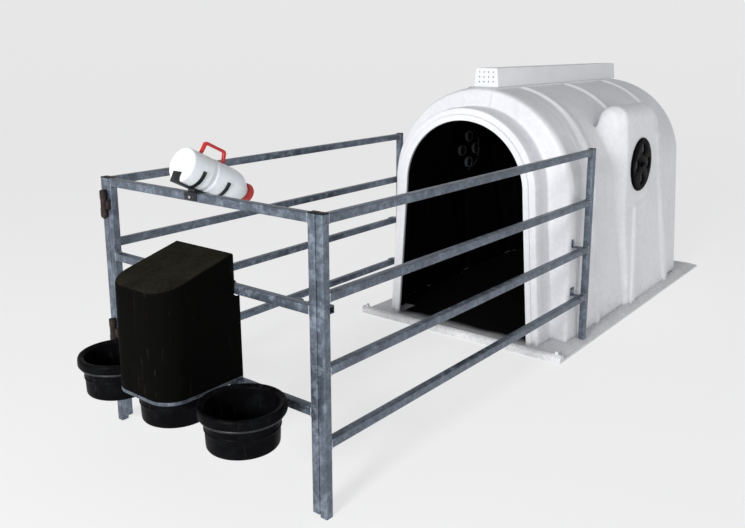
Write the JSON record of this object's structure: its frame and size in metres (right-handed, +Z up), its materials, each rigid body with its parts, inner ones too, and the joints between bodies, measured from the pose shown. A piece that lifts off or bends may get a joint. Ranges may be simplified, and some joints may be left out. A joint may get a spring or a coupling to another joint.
{
  "type": "calf hutch",
  "caption": "Moulded white shelter on a floor tray with side vents and a ridge vent, and a tube pen with a gate that holds buckets, a rain hood and a milk bottle.",
  "frame": {"origin": "on the ground, under the middle of the tray's underside", "axes": "+X to the right seen from the gate, +Y from the gate towards the hutch's rear wall, +Z up"},
  "size_m": [1.22, 4.087, 1.38],
  "materials": {
    "tray": "grey moulded plastic with fine speckle",
    "shell": "white moulded plastic, faint orange-peel texture",
    "vent": "gloss black plastic",
    "galvanised": "hot-dip galvanised, mottled blue-grey spangle",
    "cap_plastic": "black plastic plug",
    "rusty_steel": "dark steel with rust",
    "dark_steel": "dark coated steel",
    "zinc": "zinc plated",
    "bucket": "black plastic, semi-gloss with scuffs",
    "hood": "black plastic, weathered olive grey on top",
    "bottle": "white plastic, satin",
    "red": "red plastic"
  },
  "bodies": {
    "hutch_and_pen": {"tray": "tray", "shell": "shell", "ridge_vent": "shell", "right_vent_frame": "vent", "left_vent_frame": "vent", "right_front_post": "galvanised", "right_rear_post": "galvanised", "left_front_post": "galvanised", "left_rear_post": "galvanised", "right_rail_1": "galvanised", "right_rail_2": "galvanised", "right_rail_3": "galvanised", "right_rail_4": "galvanised", "left_rail_1": "galvanised", "left_rail_2": "galvanised", "left_rail_3": "galvanised", "left_rail_4": "galvanised", "side_post_caps": "cap_plastic", "fence_hooks": "dark_steel", "hook_bolts": "zinc", "hinge_knuckles_post": "rusty_steel", "hinge_pins": "rusty_steel", "latch_keeper": "galvanised"},
    "gate": {"gate_hinge_post": "galvanised", "gate_latch_post": "galvanised", "gate_top_rail": "galvanised", "gate_mid_rail": "galvanised", "gate_bottom_rail": "galvanised", "gate_post_caps": "cap_plastic", "hinge_knuckles_gate": "rusty_steel", "latch_guides": "galvanised", "bucket_ring_left": "galvanised", "bucket_ring_middle": "galvanised", "bucket_ring_right": "galvanised", "hood_hoop": "galvanised", "bottle_rack": "dark_steel", "rack_bolt": "zinc"},
    "latch": {"latch_bolt": "zinc"},
    "bucket_1": {"bucket_left": "bucket"},
    "bucket_2": {"bucket_middle": "bucket"},
    "bucket_3": {"bucket_right": "bucket"},
    "hood": {"hood": "hood", "hood_straps": "dark_steel", "hood_rivets": "zinc"},
    "bottle": {"bottle": "bottle", "bottle_handle": "red"},
    "cap": {"bottle_cap": "red"},
    "right_shutter": {"right_vent_shutter": "vent", "right_vent_handle": "vent"},
    "left_shutter": {"left_vent_shutter": "vent", "left_vent_handle": "vent"}
  },
  "joints": [
    {"name": "gate_swing", "type": "hinge", "parent": "hutch_and_pen", "child": "gate", "pos_m": [-0.54, -2.724, 0.5], "axis": [0, 0, -1], "range_deg": [0, 170]},
    {"name": "latch_slide", "type": "slide", "parent": "gate", "child": "latch", "axis": [1, 0, 0], "range_m": [0, 0.05]},
    {"name": "bucket_1_lift", "type": "slide", "parent": "gate", "child": "bucket_1", "axis": [0, 0, 1], "range_m": [0, 0.16]},
    {"name": "bucket_2_lift", "type": "slide", "parent": "gate", "child": "bucket_2", "axis": [0, 0, 1], "range_m": [0, 0.16]},
    {"name": "bucket_3_lift", "type": "slide", "parent": "gate", "child": "bucket_3", "axis": [0, 0, 1], "range_m": [0, 0.16]},
    {"name": "hood_tilt", "type": "hinge", "parent": "gate", "child": "hood", "pos_m": [0.025, -2.695, 0.694], "axis": [-1, 0, 0], "range_deg": [0, 60]},
    {"name": "bottle_lift", "type": "slide", "parent": "gate", "child": "bottle", "axis": [0, 0.4462, 0.8949], "range_m": [0, 0.15]},
    {"name": "cap_turn", "type": "hinge", "parent": "bottle", "child": "cap", "pos_m": [-0.033, -2.746, 1.10501], "axis": [0, 0.8949, -0.4462], "continuous": true},
    {"name": "right_shutter_turn", "type": "hinge", "parent": "hutch_and_pen", "child": "right_shutter", "pos_m": [0.571, -0.04, 0.84], "axis": [1, 0, 0], "range_deg": [0, 45]},
    {"name": "left_shutter_turn", "type": "hinge", "parent": "hutch_and_pen", "child": "left_shutter", "pos_m": [-0.571, -0.04, 0.84], "axis": [-1, 0, 0], "range_deg": [0, 45]}
  ]
}
